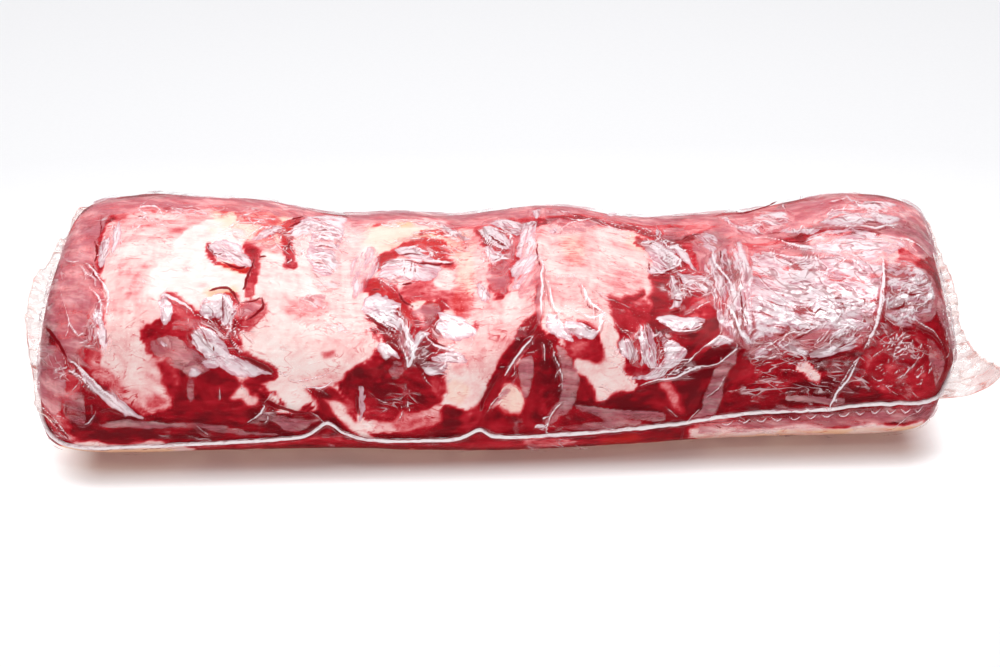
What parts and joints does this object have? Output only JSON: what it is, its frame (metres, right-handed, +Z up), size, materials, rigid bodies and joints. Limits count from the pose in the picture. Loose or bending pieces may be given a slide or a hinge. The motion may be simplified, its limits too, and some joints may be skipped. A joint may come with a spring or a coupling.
{
  "type": "vacuum pack of beef striploin",
  "caption": "Whole boneless beef striploin in a clear shrunk vacuum bag, lying fat side down, with creased film, a white welded seam along its edge and crumpled film flaps at the ends.",
  "frame": {"origin": "on the table under the middle of the filled pack, in the plane of its flattened underside", "axes": "+X along the joint from the rump end to the sirloin end that carries the film ear, -Y towards the side that shows the front seam, +Z up from the table"},
  "size_m": [0.5215, 0.2096, 0.1009],
  "materials": {
    "film_over_beef": "clear glossy shrink film drawn tight over dark red beef with cream fat"
  },
  "bodies": {
    "root": {"striploin_pack": "film_over_beef"}
  },
  "joints": []
}
